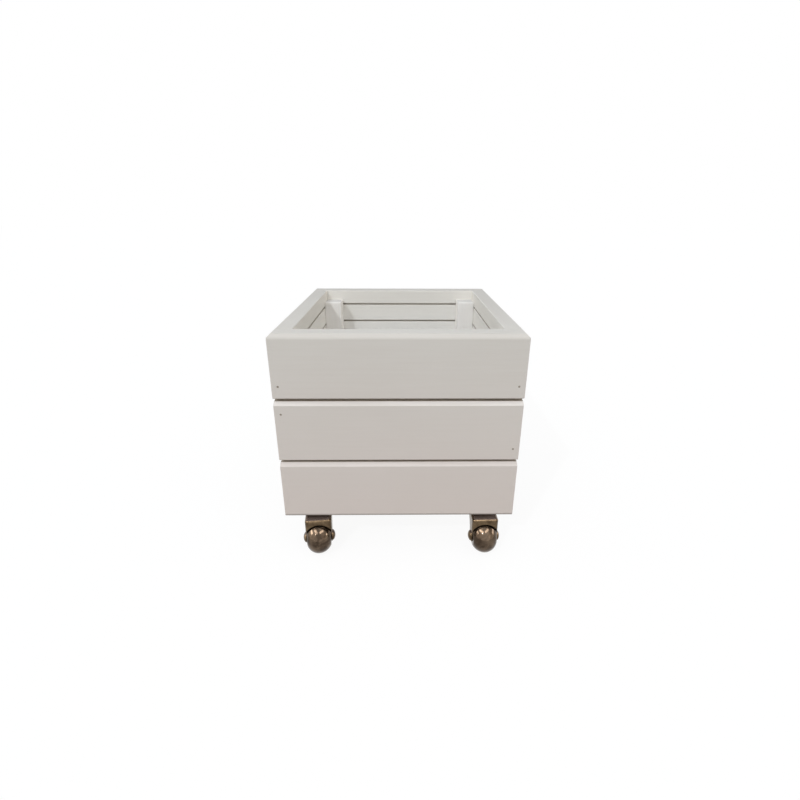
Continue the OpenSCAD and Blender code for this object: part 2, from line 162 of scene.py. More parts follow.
class Signal:
    """A number in a material. Arithmetic on it adds Math nodes."""

    def __init__(self, finish, socket):
        self.finish = finish
        self.socket = socket

    def _math(self, operation, first, second=0.0):
        return self.finish.add("ShaderNodeMath", {"operation": operation}, {0: first, 1: second})

    def __add__(self, other):
        return self._math("ADD", self, other)

    def __mul__(self, other):
        return self._math("MULTIPLY", self, other)

    def __sub__(self, other):
        return self._math("SUBTRACT", self, other)

    def __rsub__(self, other):
        return self._math("SUBTRACT", other, self)

    def __abs__(self):
        return self._math("ABSOLUTE", self)

    __radd__ = __add__
    __rmul__ = __mul__

    def larger(self, other):
        return self._math("MAXIMUM", self, other)

    def smaller(self, other):
        return self._math("MINIMUM", self, other)


class Finish:
    """A material or world and its nodes."""

    def __init__(self, owner):
        self.owner = owner
        owner.use_nodes = True
        self.tree = owner.node_tree

    def add(self, kind, settings=None, inputs=None, output=0):
        """Adds a node, sets it up, gives its sockets their values or links, and returns one output.

        An output node has none, and returns nothing.
        """
        node = self.tree.nodes.new(kind)
        for name, value in (settings or {}).items():
            setattr(node, name, value)
        for name, value in (inputs or {}).items():
            self.plug(node.inputs[name], value)
        return Signal(self, node.outputs[output]) if node.outputs else None

    def plug(self, socket, value):
        if isinstance(value, Signal):
            self.tree.links.new(value.socket, socket)
        else:
            socket.default_value = value

    def object_place(self):
        return self.add("ShaderNodeTexCoord", output="Object")

    def stretched(self, scale):
        """Object coordinates, scaled by axis."""
        return self.add(
            "ShaderNodeMapping", inputs={"Vector": self.object_place(), "Scale": scale}
        )

    def along(self, vector, axis):
        """One of a vector's parts: X, Y or Z."""
        return self.add("ShaderNodeSeparateXYZ", inputs={0: vector}, output=axis)

    def noise(self, place, scale, detail=2, roughness=0.5, distortion=0):
        return self.add(
            "ShaderNodeTexNoise",
            inputs={
                "Vector": place,
                "Scale": scale,
                "Detail": detail,
                "Roughness": roughness,
                "Distortion": distortion,
            },
        )

    def fade(self, value, start, end):
        """0 where a value is at its start, 1 where it is at its end, and even between them."""
        return self.add(
            "ShaderNodeMapRange", inputs={"Value": value, "From Min": start, "From Max": end}
        )

    def facing_up(self, start, end):
        """Fades in as a surface turns upwards, by the height of its normal."""
        normal = self.add("ShaderNodeNewGeometry", output="Normal")
        return self.fade(self.along(normal, "Z"), start, end)

    def blend(self, mask, first, second):
        """Mixes two colours by a mask."""
        return self.add(
            "ShaderNodeMix",
            {"data_type": "RGBA"},
            {0: mask, 6: first, 7: second},
            output=2,
        )

    def bump(self, height, distance, strength=1):
        return self.add(
            "ShaderNodeBump",
            inputs={"Height": height, "Distance": distance, "Strength": strength},
        )

    def surface(self, **values):
        """Sets the sockets of the material's own shader."""
        shader = self.tree.nodes["Principled BSDF"]
        for name, value in values.items():
            self.plug(shader.inputs[name.replace("_", " ")], value)
        return self.owner


def new_finish(name):
    return Finish(bpy.data.materials.new(name))


def colour(red, green, blue):
    """Linear colour of 8-bit display values."""
    def linear(level):
        level /= 255
        return level / 12.92 if level <= 0.04045 else ((level + 0.055) / 1.055) ** 2.4

    return (linear(red), linear(green), linear(blue), 1)


# ------------------------------------------------------------------ finishes

# Scales that draw a noise out along the grain
ALONG = {"x": (0.04, 1, 1), "y": (1, 0.04, 1), "z": (1, 1, 0.04)}

PAINT = colour(226, 223, 217)
# Lighter paint on the joint chamfers: a painted highlight where they catch the light
PAINT_CHAMFER_HIGHLIGHT = colour(246, 244, 240)
PAINT_THIN = colour(221, 217, 210)
# Warmer paint towards the bottom is a painted tint of warm light thrown up from the floor
PAINT_WARM_BOUNCE = colour(224, 212, 206)
# Dark paint along the bottom edge is painted shade, where the floor under the box lies in shadow
PAINT_BOTTOM_SHADE = colour(104, 96, 88)
# Lighter paint inside the box is painted light: most low down, less near the rim, most of all on
# the posts
PAINT_LIT_INSIDE = colour(250, 249, 245)
PAINT_LIT_INSIDE_NEAR_RIM = colour(241, 239, 233)
PAINT_LIT_POSTS = colour(254, 252, 249)
# Dust on what faces up, darkened further as painted shade towards the back
DUST_AND_SHADE_ON_TOP = colour(128, 124, 118)
MATT_SPECULAR = 0.15

# Heights between which the paint changes: none of it, then all of it
WARM_BOUNCE_BELOW = (0.357, 0.036)
BOTTOM_SHADE_BELOW = (BOX_FLOOR_Z + 4.5 * MM, BOX_FLOOR_Z + 0.9 * MM)
# Where the painted light inside the box gives way to less of it near the rim
NEAR_RIM_ABOVE = (BOX_FLOOR_Z + 0.21, BOX_FLOOR_Z + 0.27)


def inside_box(f, place, deep=0):
    """1 from the planting space to a depth in the walls, 0 further out."""
    out = abs(f.along(place, "X")).larger(abs(f.along(place, "Y")))
    return f.fade(out - INNER_W / 2 - deep, 1 * MM, 0.2 * MM)


def dust_and_shade_on_top(f, place):
    """Mask of dust and painted shade on what faces up, stronger towards the back, where less light
    falls.
    """
    towards_back = f.fade(f.along(place, "Y"), BOX_LOW.y, -BOX_LOW.y)
    return f.facing_up(0.9, 0.99) * (0.04 + towards_back * 0.28)


def painted_wood(name, along, inside=PAINT_LIT_INSIDE, near_rim=PAINT_LIT_INSIDE_NEAR_RIM, outside=PAINT):
    """Satin off-white paint, brushed along the grain of softwood that shows through faintly."""
    f = new_finish(name)
    grain = f.stretched(ALONG[along])
    place = f.object_place()
    height = f.along(place, "Z")
    rings = f.noise(grain, 260, 3, 0.6, 0.4)
    bristles = f.noise(grain, 1400, 2)
    cloud = f.noise(place, 7, 2)
    thin = f.fade(rings * 0.5 + cloud * 0.5, 0.42, 0.62)
    paint = f.blend(thin * 0.5, outside, PAINT_THIN)
    # Painted warm light from the floor: the paint warmer towards the bottom
    paint = f.blend(f.fade(height, *WARM_BOUNCE_BELOW) * 0.8, paint, PAINT_WARM_BOUNCE)
    # Painted shade along the bottom edge
    paint = f.blend(f.fade(height, *BOTTOM_SHADE_BELOW) * 0.85, paint, PAINT_BOTTOM_SHADE)
    # Painted light inside the box: lighter low down than near the rim
    inner = f.blend(f.fade(height, *NEAR_RIM_ABOVE), inside, near_rim)
    paint = f.blend(inside_box(f, place) * (0.85 + thin * 0.15), paint, inner)
    # Dust and painted shade on what faces up
    paint = f.blend(dust_and_shade_on_top(f, place), paint, DUST_AND_SHADE_ON_TOP)
    relief = rings * 0.6 + bristles * 0.4
    return f.surface(
        Base_Color=paint,
        Roughness=0.5 + cloud * 0.12 + bristles * 0.06,
        Normal=f.bump(relief, 0.12 * MM, 0.5),
        Specular_IOR_Level=MATT_SPECULAR,
    )


def sawn_groove(name):
    """Saw-cut wood in the grooves and kerfs, grey with old dust and thin paint, and darkened as
    painted shade in the slots between the boards. In the kerfs inside the box it is lighter, as
    painted light.
    """
    f = new_finish(name)
    place = f.object_place()
    dust = f.noise(place, 400, 3, 0.6)
    saw = f.noise(f.stretched((1, 1, 0.1)), 1600, 2)
    # Darker than the paint: partly bare wood, partly painted shade in the slots between the boards
    wood = f.blend(dust, colour(160, 150, 138), colour(190, 181, 169))
    # Painted light: lighter in the kerfs inside the box
    wood = f.blend(inside_box(f, place, KERF_DEPTH), wood, colour(208, 202, 193))
    return f.surface(
        Base_Color=wood,
        Roughness=0.7 + dust * 0.2,
        Normal=f.bump(saw, 0.15 * MM, 0.6),
        Specular_IOR_Level=MATT_SPECULAR,
    )


def bare_deal(name, along):
    """Planed softwood without paint: growth rings, darker latewood and fine pores."""
    f = new_finish(name)
    grain = f.stretched(ALONG[along])
    rings = f.noise(grain, 180, 3, 0.55, 1.2)
    pores = f.noise(grain, 2200, 2)
    cloud = f.noise(f.object_place(), 14, 2)
    late = f.fade(rings, 0.45, 0.6)
    wood = f.blend(late * 0.7, colour(214, 184, 140), colour(176, 132, 84))
    wood = f.blend(cloud * 0.3, wood, colour(196, 160, 116))
    return f.surface(
        Base_Color=wood,
        Roughness=0.6 + pores * 0.15,
        Normal=f.bump(late * 0.5 + pores * 0.5, 0.15 * MM, 0.6),
    )


def bronzed_steel(name):
    """Antique bronze plating, rubbed lighter in patches, with dust where it faces up that also
    stands as painted light on the crown's top.
    """
    f = new_finish(name)
    place = f.object_place()
    patch = f.noise(place, 90, 3, 0.6)
    speck = f.noise(place, 900, 2)
    worn = f.fade(patch * 0.8 + speck * 0.2, 0.4, 0.65)
    # Pale dust on what faces up, also painted light: it lightens the crown's top, which lies in the
    # box's shadow
    dust = f.facing_up(0.8, 0.98) * (0.3 + speck * 0.5)
    plating = f.blend(worn, colour(78, 64, 48), colour(116, 98, 76))
    return f.surface(
        Base_Color=f.blend(dust, plating, colour(176, 156, 150)),
        Metallic=1 - dust,
        Roughness=0.18 + patch * 0.14 + dust * 0.4,
        Normal=f.bump(speck, 0.03 * MM, 0.4),
    )


def bright_steel(name):
    """Zinc-plated steel with a slight haze."""
    f = new_finish(name)
    place = f.object_place()
    haze = f.noise(place, 220, 3)
    scratch = f.noise(f.stretched((1, 0.1, 1)), 1800, 2)
    return f.surface(
        Base_Color=f.blend(haze * 0.6, colour(186, 184, 178), colour(140, 138, 132)),
        Metallic=1.0,
        Roughness=0.22 + haze * 0.2,
        Normal=f.bump(scratch, 0.02 * MM, 0.4),
    )


def painted_nail(name):
    """Nail head set below the face, painted over in patches."""
    f = new_finish(name)
    place = f.object_place()
    spot = f.noise(place, 500, 2)
    return f.surface(
        Base_Color=f.blend(spot, colour(176, 166, 152), colour(128, 116, 102)),
        Metallic=0.0,
        Roughness=0.5 + spot * 0.2,
        Normal=f.bump(spot, 0.1 * MM, 0.5),
    )


def moulded_hub(name):
    """Glossy bronze-brown nylon of the hub."""
    f = new_finish(name)
    place = f.object_place()
    flow = f.noise(place, 160, 2)
    return f.surface(
        Base_Color=f.blend(flow, colour(96, 80, 60), colour(150, 134, 106)),
        Metallic=0.6,
        Roughness=0.16 + flow * 0.1,
        Normal=f.bump(flow, 0.05 * MM, 0.3),
    )


def bronze_urethane(name):
    """Polished dark bronze-brown urethane of the tread, faintly streaked and scuffed."""
    f = new_finish(name)
    place = f.object_place()
    streak = f.noise(place, 70, 3, 0.6, 0.8)
    scuff = f.noise(place, 1100, 2)
    brown = f.fade(streak, 0.38, 0.62)
    return f.surface(
        Base_Color=f.blend(brown, colour(66, 54, 43), colour(102, 87, 72)),
        Metallic=0.9,
        Roughness=0.08 + streak * 0.06 + scuff * 0.03,
        Normal=f.bump(scuff, 0.02 * MM, 0.3),
    )


# ------------------------------------------------------------------ modelling helpers


def verts_of(geometry):
    return [part for part in geometry if isinstance(part, bmesh.types.BMVert)]


def prism(outline, run):
    """A flat outline of 3-D points, extruded by a vector."""
    bm = bmesh.new()
    face = bm.faces.new([bm.verts.new(point) for point in outline])
    grown = bmesh.ops.extrude_face_region(bm, geom=[face])["geom"]
    bmesh.ops.translate(bm, verts=verts_of(grown), vec=run)
    bmesh.ops.recalc_face_normals(bm, faces=bm.faces)
    return bm


def block(low, high):
    """A rectangular timber between two corners."""
    bm = bmesh.new()
    bmesh.ops.create_cube(bm, size=1)
    bmesh.ops.scale(bm, vec=high - low, verts=bm.verts)
    bmesh.ops.translate(bm, vec=(low + high) / 2, verts=bm.verts)
    return bm


def turned(outline, closed=False, steps=72):
    """Turns an outline of (radius, height) pairs round the z axis."""
    bm = bmesh.new()
    verts = [bm.verts.new((radius, 0, height)) for radius, height in outline]
    ends = verts[1:] + verts[:1] if closed else verts[1:]
    edges = [bm.edges.new(pair) for pair in zip(verts, ends)]
    bmesh.ops.spin(
        bm,
        geom=verts + edges,
        cent=(0, 0, 0),
        axis=(0, 0, 1),
        angle=2 * math.pi,
        steps=steps,
        use_merge=True,
    )
    bmesh.ops.remove_doubles(bm, verts=bm.verts, dist=SAME_PLACE)
    bmesh.ops.recalc_face_normals(bm, faces=bm.faces)
    return bm


def ease(bm, width, segments=2, wanted=lambda edge: True, least=25):
    """Rounds the outward edges that are sharper than a least angle in degrees."""
    sharp = [
        edge
        for edge in bm.edges
        if edge.is_manifold
        and edge.is_convex
        and edge.calc_face_angle() > math.radians(least)
        and wanted(edge)
    ]
    bmesh.ops.bevel(
        bm,
        geom=sharp,
        offset=width,
        offset_type="OFFSET",
        affect="EDGES",
        segments=segments,
        profile=0.5,
        material=-1,
        clamp_overlap=True,
    )


def joined(shapes):
    """Puts several shapes into a new one, and frees them."""
    whole = bmesh.new()
    for shape in shapes:
        mesh = bpy.data.meshes.new("part")
        shape.to_mesh(mesh)
        shape.free()
        whole.from_mesh(mesh)
        bpy.data.meshes.remove(mesh)
    return whole


def bare_object(name, bm):
    mesh = bpy.data.meshes.new(name)
    bm.to_mesh(mesh)
    bm.free()
    obj = bpy.data.objects.new(name, mesh)
    bpy.context.scene.collection.objects.link(obj)
    return obj


def carved(bm, cutter):
    """Cuts one shape out of another, and frees both."""
    work = bare_object("work", bm)
    tool = bare_object("tool", cutter)
    cut = work.modifiers.new("cut", "BOOLEAN")
    cut.operation = "DIFFERENCE"
    cut.solver = "EXACT"
    cut.object = tool
    bpy.context.view_layer.update()
    result = bmesh.new()
    result.from_object(work, bpy.context.evaluated_depsgraph_get())
    for obj in (work, tool):
        mesh = obj.data
        bpy.data.objects.remove(obj)
        bpy.data.meshes.remove(mesh)
    return result


def piece(name, bm, finish, body, nodes):
    """Makes the finished piece, shaded smooth except across its creases."""
    for face in bm.faces:
        face.smooth = True
    for edge in bm.edges:
        edge.smooth = edge.is_manifold and edge.calc_face_angle() < CREASE
    obj = bare_object(name, bm)
    obj.data.materials.append(finish)
    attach(obj, body)
    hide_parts(*nodes)
    return obj


def flat_faces(obj):
    """Keeps the broad faces of a timber flat in shading, beside its rounded edges."""
    weighted = obj.modifiers.new("flat faces", "WEIGHTED_NORMAL")
    weighted.keep_sharp = True
    return obj


def near(first, second):
    return abs(first - second) < SAME_PLACE


def arc(centre, radius, start, end, steps):
    """Points on a circle between two angles in degrees, both ends included."""
    angles = [math.radians(start + (end - start) * i / steps) for i in range(steps + 1)]
    return [(centre[0] + radius * math.cos(a), centre[1] + radius * math.sin(a)) for a in angles]


# ------------------------------------------------------------------ wall boards


def kerf(height):
    """Relief kerf in the inner face, round a height up the board."""
    low, high = height - KERF_W / 2, height + KERF_W / 2
    bottom = BOARD_T - KERF_DEPTH
    return [(BOARD_T, low), (bottom, low), (bottom, high), (BOARD_T, high)]


def groove():
    return [
        (GROOVE_FRONT, 0),
        (GROOVE_FRONT, GROOVE_TOP),
        (GROOVE_BACK, GROOVE_TOP),
        (GROOVE_BACK, 0),
    ]


def tongue():
    front = (BOARD_T - TONGUE_T) / 2
    back = front + TONGUE_T
    tip = BOARD_H + TONGUE_H
    return [
        (back, BOARD_H),
        (back, tip - TONGUE_LEAD),
        (back - TONGUE_LEAD, tip),
        (front + TONGUE_LEAD, tip),
        (front, tip - TONGUE_LEAD),
        (front, BOARD_H),
    ]


def board_section(course):
    """Outline of a board seen along its run, as (depth behind the face, height) pairs."""
    return [
        (LOWER_ARRIS, 0),
        *([] if course == "bottom" else groove()),
        (BOARD_T - INNER_ARRIS, 0),
        (BOARD_T, INNER_ARRIS),
        *kerf(KERF_HEIGHTS[0]),
        *kerf(KERF_HEIGHTS[1]),
        (BOARD_T, BOARD_H - INNER_ARRIS),
        (BOARD_T - INNER_ARRIS, BOARD_H),
        *([] if course == "top" else tongue()),
        (FACE_CHAMFER, BOARD_H),
        (0, BOARD_H - FACE_CHAMFER),
        (0, LOWER_ARRIS),
    ]


def nail_places(wall):
    """Places of the nails in one board: along the wall and up the board."""
    if wall in ("front", "back"):
        end, post = -BOX_LOW.x - NAIL_INSET, INNER_W / 2 - POST_W / 2
        places = [(end, FRONT_NAIL_EDGE), (end, BOARD_H - FRONT_NAIL_EDGE), (post, BOARD_H / 2)]
    else:
        end = INNER_W / 2 - POST_W / 2
        places = [(end, SIDE_NAIL_EDGE), (end, BOARD_H - SIDE_NAIL_EDGE)]
    return [(side * along, up) for side in (-1, 1) for along, up in places]


def nail_hole(along, up, face_y, depth):
    """A round hole where a nail's head is set below the face."""
    bm = bmesh.new()
    bmesh.ops.create_cone(
        bm,
        cap_ends=True,
        segments=24,
        radius1=NAIL_HOLE_R,
        radius2=NAIL_HOLE_R,
        depth=2 * depth,
        matrix=Matrix.Translation((along, face_y, up)) @ Matrix.Rotation(math.pi / 2, 4, "X"),
    )
    return bm


# Nails left open, by their number in nail_places' list for a front board. The right, back and
# left walls count from 1, 2 and 3 instead of 0.
OPEN_NAILS = {"top": (0, 3), "middle": (1, 3), "bottom": ()}
NAIL_CYCLE = 6


def nail_depth(wall, course, i):
    """Most nails are filled over and painted. A few are left open."""
    turn = (i + list(WALLS).index(wall)) % NAIL_CYCLE
    return NAIL_HOLE_DEPTH if turn in OPEN_NAILS[course] else FILLED_DEPTH


def end_wedges(half, face_y, top):
    """Wedges that cut the chamfers across both ends of a top board."""
    inner, reach = FACE_CHAMFER + OVERRUN, 2 * MM
    shapes = []
    for side in (-1, 1):
        corners = [
            (half - inner - reach, top + reach),
            (half + reach, top - inner - reach),
            (half + reach, top + reach),
        ]
        outline = [(side * x, face_y - MM, z) for x, z in corners]
        shapes.append(prism(outline, (0, BOARD_T + 2 * MM, 0)))
    return joined(shapes)


def face_kind(depth, up, normal, course):
    """Slot of a board's face, by the place of its middle: paint, joint chamfer with its painted
    highlight, or sawn wood.
    """
    if abs(normal.x) > 0.5:
        return PAINTED
    in_kerf = BOARD_T - KERF_DEPTH - SLACK < depth < BOARD_T - SLACK
    if in_kerf and any(abs(up - height) < KERF_W / 2 + SLACK for height in KERF_HEIGHTS):
        return SAWN
    if course != "top":
        if depth < FACE_CHAMFER and up > BOARD_H - FACE_CHAMFER:
            return CHAMFER_HIGHLIGHT
        if up > BOARD_H - SLACK and FACE_CHAMFER < depth < BOARD_T - INNER_ARRIS:
            return SAWN
    if course != "bottom":
        if GROOVE_FRONT - SLACK < depth < GROOVE_BACK + SLACK and 0 < up < GROOVE_TOP + MM:
            return SAWN
    return PAINTED


def wall_board(wall, course, finishes):
    """A tongue-and-groove board, made as the front wall's and turned to its own wall."""
    node = f"board_{wall}_{course}"
    face_y = BOX_LOW.y
    foot = BOX_FLOOR_Z + COURSES.index(course) * COURSE_STEP
    is_long = wall in ("front", "back")
    half = -BOX_LOW.x if is_long else INNER_W / 2
    outline = [(-half, face_y + depth, foot + up) for depth, up in board_section(course)]
    bm = prism(outline, (2 * half, 0, 0))
    top = foot + BOARD_H

    def at_rim_arris(edge):
        arris = top - FACE_CHAMFER
        return all(near(v.co.y, face_y) and near(v.co.z, arris) for v in edge.verts)

    def on_end_chamfer(edge):
        slope = half + top - FACE_CHAMFER - OVERRUN
        return all(near(abs(v.co.x) + v.co.z, slope) for v in edge.verts)

    if course == "top":
        ease(bm, RIM_EASE, 4, at_rim_arris)
    ease(bm, BOARD_EASE)
    if is_long and course == "top":
        bm = carved(bm, end_wedges(half, face_y, top))
        ease(bm, BOARD_EASE / 2, wanted=on_end_chamfer)
    holes = [
        nail_hole(along, foot + up, face_y, nail_depth(wall, course, i))
        for i, (along, up) in enumerate(nail_places(wall))
    ]
    bm = carved(bm, joined(holes))
    for face in bm.faces:
        middle = face.calc_center_median()
        face.material_index = face_kind(middle.y - face_y, middle.z - foot, face.normal, course)
    turn = Matrix.Rotation(math.radians(WALLS[wall]), 3, "Z")
    bmesh.ops.rotate(bm, verts=bm.verts, cent=(0, 0, 0), matrix=turn)
    run = "x" if is_long else "y"
    obj = piece(node + "_dressed", bm, finishes["paint_" + run], "box", [node])
    for finish in (finishes["edge_" + run], finishes["sawn"]):
        obj.data.materials.append(finish)
    return flat_faces(obj)


# ------------------------------------------------------------------ posts and floor


def timber(node, width, segments, finish):
    """A planed timber in the place of its node, with rounded edges."""
    bm = block(*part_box(node))
    ease(bm, width, segments)
    return flat_faces(piece(node + "_dressed", bm, finish, "box", [node]))


# ------------------------------------------------------------------ casters


def caster_matrix(corner):
    """Place of a caster: its pivot's top at the box, x along the axle, the wheel towards -y."""
    pivot = Vector(JOINTS[f"swivel_{corner}"]["pos_m"])
    pivot.z = BOX_FLOOR_Z
    across = Vector(JOINTS[f"roll_{corner}"]["axis"])
    up = Vector((0, 0, 1))
    turn = Matrix((across, up.cross(across), up)).transposed()
    return Matrix.Translation(pivot) @ turn.to_4x4()


def axle_matrix(corner):
    """Place of what turns round the axle: z along it, from the middle of the wheel."""
    joint = JOINTS[f"roll_{corner}"]
    turn = Vector(joint["axis"]).to_track_quat("Z", "Y")
    return Matrix.Translation(joint["pos_m"]) @ turn.to_matrix().to_4x4()


AXLE_Z = JOINTS["roll_front_left"]["pos_m"][2] - BOX_FLOOR_Z
TRAIL = (
    Vector(JOINTS["roll_front_left"]["pos_m"]) - Vector(JOINTS["swivel_front_left"]["pos_m"])
).to_2d().length
CROWN_Z = -PLATE_T - SWIVEL_H
BALL_Z = -PLATE_T - SWIVEL_H / 2
FRONT_D = TRAIL + LEG_END_R - OVERRUN
FORK_LOW = AXLE_Z - LEG_END_R - MM
THROUGH_FORK = FORK_W + 4 * MM


def hood_block(shrink):
    """The hood as a solid, drawn in by shrink at its top, front and sides."""
    half = FORK_W / 2 - shrink
    top, front = CROWN_Z - shrink, -FRONT_D + shrink
    bm = block(Vector((-half, front, FORK_LOW)), Vector((half, CROWN_R + shrink, top)))

    def upright(edge):
        first, second = (v.co for v in edge.verts)
        return near(first.y, front) and near(second.y, front) and near(first.x, second.x)

    def around_top(edge):
        ends = [v.co for v in edge.verts]
        return all(near(end.z, top) for end in ends) and min(end.y for end in ends) < CROWN_R - MM

    ease(bm, CORNER_R - shrink, 8, upright)
    ease(bm, BEND_R - shrink, 8, around_top, 5)
    return bm


def side_waste():
    """All that lies below and behind the legs, seen from the side."""
    rear_z = CROWN_Z - LEG_REAR_H
    sweep = rear_z - AXLE_Z
    centre = (-TRAIL + LEG_END_R + sweep, AXLE_Z)
    radius = sweep + OVERRUN
    end_dip = math.degrees(math.asin(OVERRUN * (2 * sweep + OVERRUN) / 2 / radius / LEG_END_R))
    flat = math.degrees(math.acos(sweep / radius))
    start_y = -TRAIL - LEG_END_R
    outline = [
        *arc((-TRAIL, AXLE_Z), LEG_END_R, 180, 360 - end_dip, 32),
        *arc(centre, radius, 178, 90 - flat, 24),
        (CROWN_R + 2 * MM, rear_z),
        (CROWN_R + 2 * MM, FORK_LOW - MM),
        (start_y - 2 * MM, FORK_LOW - MM),
        (start_y - 2 * MM, AXLE_Z),
    ]
    return prism([(-THROUGH_FORK / 2, y, z) for y, z in outline], (THROUGH_FORK, 0, 0))


def crown_waste():
    """All that lies behind the crown's round rear edge, seen from above."""
    far = CROWN_R + 2 * MM
    corners = [(-far, 0), (-far, 2 * far), (far, 2 * far), (far, 0)]
    outline = [(x, y, FORK_LOW - MM) for x, y in arc((0, 0), CROWN_R, 0, 180, 48) + corners]
    return prism(outline, (0, 0, CROWN_Z - FORK_LOW + 2 * MM))


def hood_opening():
    """Arched opening in the front of the hood, just clear of the wheel's crown."""
    half = FORK_W / 2 - SHEET_T
    centre = AXLE_Z + WHEEL_R - TREAD_R
    radius = TREAD_R + ARCH_GAP
    side = math.degrees(math.acos(half / radius))
    outline = arc((0, centre), radius, side, 180 - side, 32) + [
        (-half, FORK_LOW - MM),
        (half, FORK_LOW - MM),
    ]
    front = -FRONT_D - MM
    return prism([(x, front, z) for x, z in outline], (0, CORNER_R + MM, 0))


def bore(radius, length, matrix):
    bm = bmesh.new()
    bmesh.ops.create_cone(
        bm, cap_ends=True, segments=48, radius1=radius, radius2=radius, depth=length, matrix=matrix
    )
    return bm


def hood_shape():
    """The pressed fork: a hooded crown and two legs of one sheet, on its pivot's axis."""
    bm = carved(hood_block(0), side_waste())
    bm = carved(bm, crown_waste())
    bm = carved(bm, hood_block(SHEET_T))
    bm = carved(bm, hood_opening())
    pivot = bore(KINGPIN_R + BORE_PLAY, PIVOT_BORE_L, Matrix.Translation((0, 0, CROWN_Z)))
    across = Matrix.Translation((0, -TRAIL, AXLE_Z)) @ Matrix.Rotation(math.pi / 2, 4, "Y")
    return carved(bm, joined([pivot, bore(AXLE_R + BORE_PLAY, THROUGH_FORK, across)]))


def fork_sheet(corner, shape, finishes):
    bm = shape.copy()
    bmesh.ops.transform(bm, matrix=caster_matrix(corner), verts=bm.verts)
    node = f"caster_{corner}_fork"
    obj = piece(node + "_sheet", bm, finishes["bronze"], f"fork_{corner}", [node])
    edge = obj.modifiers.new("edge", "BEVEL")
    edge.width = PRESSED_EASE
    edge.segments = 2
    edge.limit_method = "ANGLE"
    edge.angle_limit = CREASE
    edge.use_clamp_overlap = False
    return flat_faces(obj)


def race_cup(corner, finishes):
    """Dished race on the crown, with the dust skirt round the balls."""
    top = CROWN_Z + SWIVEL_H - SKIRT_GAP
    race_top = CROWN_Z + RACE_H
    side = math.degrees(math.asin((race_top - BALL_Z) / BALL_SEAT_R))
    seat = arc((RACE_R, BALL_Z), BALL_SEAT_R, -180 - side, side, 12)
    outline = [
        (RACE_INNER_R, CROWN_Z - SHEET_T / 2),
        (RACE_INNER_R, race_top),
        *seat,
        (SKIRT_R, race_top),
        (SKIRT_R, top),
        (SKIRT_R + SKIRT_T, top),
        (SKIRT_R + SKIRT_T, CROWN_Z - SHEET_T / 2),
    ]
    bm = turned(outline, closed=True, steps=96)
    ease(bm, TURNED_EASE)
    bmesh.ops.transform(bm, matrix=caster_matrix(corner), verts=bm.verts)
    node = f"caster_{corner}_fork"
    return piece(node + "_cup", bm, finishes["bronze"], f"fork_{corner}", [node])


def axle_bosses(corner, finishes):
    """Pressed boss round the axle on the outside of each leg."""
    inner = FORK_W / 2 - SHEET_T / 2
    outer = FORK_W / 2 + BOSS_H
    outline = [(AXLE_R, inner), (AXLE_R, outer), (BOSS_R, outer), (BOSS_R, inner)]
    shapes = []
    for side in (0, math.pi):
        bm = turned(outline, closed=True)
        ease(bm, PRESSED_EASE)
        turn = Matrix.Rotation(side, 3, "X")
        bmesh.ops.rotate(bm, verts=bm.verts, cent=(0, 0, 0), matrix=turn)
        shapes.append(bm)
    bm = joined(shapes)
    bmesh.ops.transform(bm, matrix=axle_matrix(corner), verts=bm.verts)
    node = f"caster_{corner}_fork"
    return piece(node + "_bosses", bm, finishes["bronze"], f"fork_{corner}", [node])


def dome_outline():
    """Domed head: from its edge on the boss, over the rim, to the middle of the dome."""
    rise = CAP_H - CAP_RIM
    radius = (CAP_R**2 + rise**2) / (2 * rise)
    start = math.degrees(math.asin((radius - rise) / radius))
    return [(CAP_R, 0), *arc((0, CAP_H - radius), radius, start, 90, 12)]


def axle_end(side, outline, name, node, corner, finishes):
    """A turned piece that sits on one of the fork's bosses."""
    bm = turned(outline)
    ease(bm, PRESSED_EASE)
    bmesh.ops.translate(bm, verts=bm.verts, vec=(0, 0, FORK_W / 2 + BOSS_H))
    if side < 0:
        turn = Matrix.Rotation(math.pi, 3, "X")
        bmesh.ops.rotate(bm, verts=bm.verts, cent=(0, 0, 0), matrix=turn)
    bmesh.ops.transform(bm, matrix=axle_matrix(corner), verts=bm.verts)
    return piece(name, bm, finishes["bronze"], f"fork_{corner}", [node])


def axle(corner, finishes):
    """The axle: a pin with a domed head on the left, and its cap on the right."""
    node = f"caster_{corner}_axle"
    length = FORK_W + 2 * BOSS_H
    base = [(0, -length), (AXLE_R, -length), (AXLE_R, 0)]
    axle_end(-1, base + dome_outline(), node + "_pin", node, corner, finishes)
    cap = node + "_cap"
    axle_end(1, [(0, 0)] + dome_outline(), cap + "_dome", cap, corner, finishes)


def hub_outline(gap):
    """Outside of the hub and its ribs, grown by a gap: (radius, place along the axle) pairs."""
    core, rib = HUB_R + gap, RIB_R + gap
    outline = [(core, -HUB_L / 2)]
    for i in (-1, 0, 1):
        low = i * RIB_PITCH - RIB_W / 2 - gap
        high = i * RIB_PITCH + RIB_W / 2 + gap
        outline += [(core, low), (rib, low), (rib, high), (core, high)]
    return outline + [(core, HUB_L / 2)]


def hub(corner, finishes):
    """Moulded hub, whose ribs hold the tread."""
    bore_r = AXLE_R + BORE_PLAY
    outline = hub_outline(0) + [(bore_r, HUB_L / 2), (bore_r, -HUB_L / 2)]
    bm = turned(outline, closed=True)
    ease(bm, TURNED_EASE)
    bmesh.ops.transform(bm, matrix=axle_matrix(corner), verts=bm.verts)
    node = f"caster_{corner}_hub"
    return piece(node + "_core", bm, finishes["hub"], f"wheel_{corner}", [node])


